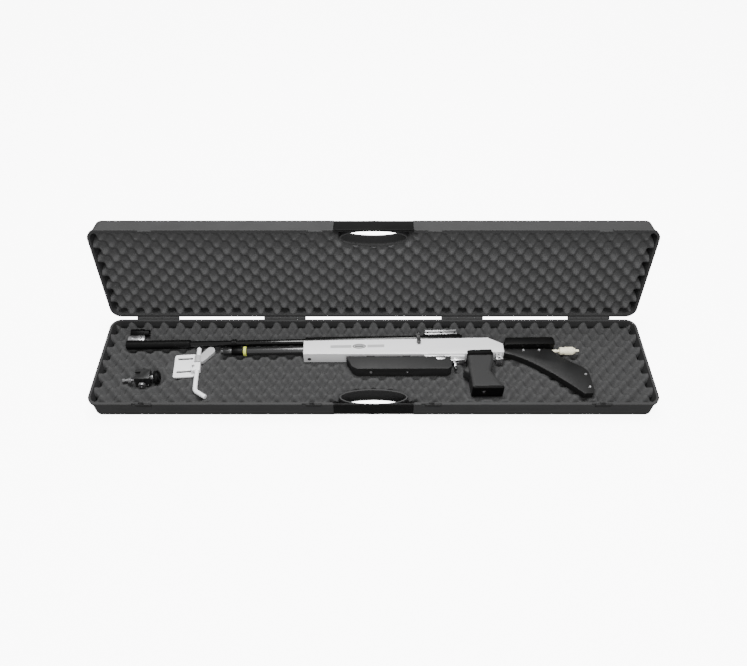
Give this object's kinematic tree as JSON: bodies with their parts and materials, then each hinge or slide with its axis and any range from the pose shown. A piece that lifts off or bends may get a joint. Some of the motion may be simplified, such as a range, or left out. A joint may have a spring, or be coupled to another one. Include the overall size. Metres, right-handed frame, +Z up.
{
  "type": "target air rifle in hard case",
  "caption": "Open hard carrying case with egg-crate foam holding a dismounted inert target air rifle display model, its butt hook and its diopter rear sight.",
  "frame": {"origin": "centre of the case base on the floor", "axes": "+X along the case towards the rifle butt, +Y towards the hinge side, +Z up"},
  "size_m": [1.25, 0.3325, 0.2977],
  "materials": {
    "case_plastic": "fine grain, moulded",
    "lid_plastic": "fine grain, moulded",
    "foam": "open-cell convoluted foam",
    "soft_grip": "satin",
    "steel_pin": "plain",
    "latch_plastic": "satin",
    "blued_steel": "gloss black",
    "black_anodised": "satin black",
    "grey_anodised": "satin grey",
    "silver_anodised": "bead-blasted",
    "silver_lacquer": "satin silver-white lacquer",
    "steel_screw": "plain",
    "black_screw": "blackened",
    "pale_ring": "pale yellow-green",
    "grey_metal": "satin",
    "black_plastic": "satin",
    "grip_rubber": "matte",
    "dark_anodised": "satin dark grey",
    "brass": "pale, plated",
    "clear_silver": "satin"
  },
  "bodies": {
    "case_tray": {"tray_shell": "case_plastic", "tray_foam": "foam", "tray_grip": "soft_grip", "hinge_pins": "steel_pin"},
    "case_lid": {"lid_shell": "lid_plastic", "lid_foam": "foam", "lid_grip": "soft_grip"},
    "latch_1": {"latch_slide_1": "latch_plastic"},
    "latch_2": {"latch_slide_2": "latch_plastic"},
    "latch_3": {"latch_slide_3": "latch_plastic"},
    "latch_4": {"latch_slide_4": "latch_plastic"},
    "rifle": {"barrel": "blued_steel", "barrel_sleeve": "black_anodised", "front_sight_base": "silver_anodised", "front_sight_tunnel": "black_anodised", "front_sight_insert": "black_screw", "front_sight_screws": "steel_screw", "barrel_band": "black_anodised", "action_body": "black_anodised", "air_cylinder": "grey_anodised", "cylinder_ring": "pale_ring", "cylinder_gauge": "grey_metal", "gauge_collar": "black_anodised", "stock_body": "silver_lacquer", "stock_screw": "black_screw", "forend_spacers": "black_plastic", "forend_block": "dark_anodised", "forend_screws": "steel_screw", "forend_nut": "silver_anodised", "sight_rail": "silver_anodised", "rail_screws": "black_screw", "lever_screw": "black_screw", "trigger_housing": "silver_anodised", "trigger_pin": "steel_pin", "grip": "grip_rubber", "grip_bolt": "steel_screw", "rear_bracket": "silver_anodised", "bracket_screws": "black_screw", "butt_frame": "dark_anodised", "butt_screws": "steel_screw", "butt_rod": "brass"},
    "trigger": {"trigger_blade": "clear_silver", "trigger_shoe": "black_plastic"},
    "lever": {"loading_lever": "silver_anodised"},
    "cheek_rest": {"cheek_block": "black_plastic", "cheek_posts": "clear_silver"},
    "butt_adjuster": {"butt_nut": "brass"},
    "hook_base": {"hook_plate": "clear_silver", "hook_clamp": "clear_silver", "hook_screws": "steel_screw"},
    "hook_arm": {"hook_rod": "clear_silver"},
    "hook_wing": {"hook_pad": "clear_silver"},
    "rear_sight": {"sight_body": "grey_metal", "sight_arm": "grey_metal", "sight_clamp": "grey_metal"},
    "sight_eyepiece": {"sight_disc": "black_anodised"},
    "windage": {"windage_knob": "grey_metal"},
    "elevation": {"elevation_knob": "grey_metal"}
  },
  "joints": [
    {"name": "lid_hinge", "type": "hinge", "parent": "case_tray", "child": "case_lid", "pos_m": [0, 0.125, 0.05], "axis": [-1, 0, 0], "range_deg": [-97.7, 0]},
    {"name": "latch_1_slide", "type": "slide", "parent": "case_tray", "child": "latch_1", "axis": [1, 0, 0], "range_m": [-0.008, 0]},
    {"name": "latch_2_slide", "type": "slide", "parent": "case_tray", "child": "latch_2", "axis": [1, 0, 0], "range_m": [-0.008, 0]},
    {"name": "latch_3_slide", "type": "slide", "parent": "case_tray", "child": "latch_3", "axis": [1, 0, 0], "range_m": [-0.008, 0]},
    {"name": "latch_4_slide", "type": "slide", "parent": "case_tray", "child": "latch_4", "axis": [1, 0, 0], "range_m": [-0.008, 0]},
    {"name": "rifle_lift", "type": "slide", "parent": "case_tray", "child": "rifle", "axis": [0, 0, 1], "range_m": [0, 0.15]},
    {"name": "trigger_pull", "type": "hinge", "parent": "rifle", "child": "trigger", "pos_m": [0.18136, -0.0019, 0.047], "axis": [0, 0, 1], "range_deg": [0, 8], "stiffness_Nm_per_rad": 0.6, "springref_deg": -2.86},
    {"name": "lever_swing", "type": "hinge", "parent": "rifle", "child": "lever", "pos_m": [0.1039, 0.06136, 0.064], "axis": [0, 0, 1], "range_deg": [0, 40]},
    {"name": "cheek_height", "type": "slide", "parent": "rifle", "child": "cheek_rest", "axis": [-0.0227, 0.9997, 0], "range_m": [0, 0.01]},
    {"name": "butt_nut_spin", "type": "hinge", "parent": "rifle", "child": "butt_adjuster", "pos_m": [0.44087, 0.02249, 0.052], "axis": [0.9997, 0.0227, 0], "continuous": true},
    {"name": "hook_lift", "type": "slide", "parent": "case_tray", "child": "hook_base", "axis": [0, 0, 1], "range_m": [0, 0.12]},
    {"name": "hook_rod_turn", "type": "hinge", "parent": "hook_base", "child": "hook_arm", "pos_m": [-0.4, -0.024, 0.0426], "axis": [0.0698, -0.9976, 0], "range_deg": [0, 60]},
    {"name": "hook_wing_turn", "type": "hinge", "parent": "hook_arm", "child": "hook_wing", "pos_m": [-0.40188, 0.00293, 0.0426], "axis": [0.0698, -0.9976, 0], "range_deg": [0, 60]},
    {"name": "rear_sight_lift", "type": "slide", "parent": "case_tray", "child": "rear_sight", "axis": [0, 0, 1], "range_m": [0, 0.12]},
    {"name": "eyepiece_turn", "type": "hinge", "parent": "rear_sight", "child": "sight_eyepiece", "pos_m": [-0.48688, -0.04553, 0.042], "axis": [0.9986, 0.0523, 0], "continuous": true},
    {"name": "windage_turn", "type": "hinge", "parent": "rear_sight", "child": "windage", "pos_m": [-0.54444, -0.05556, 0.044], "axis": [-0.9986, -0.0523, 0], "continuous": true},
    {"name": "elevation_turn", "type": "hinge", "parent": "rear_sight", "child": "elevation", "pos_m": [-0.51695, -0.06413, 0.04], "axis": [0.0523, -0.9986, 0], "continuous": true}
  ]
}
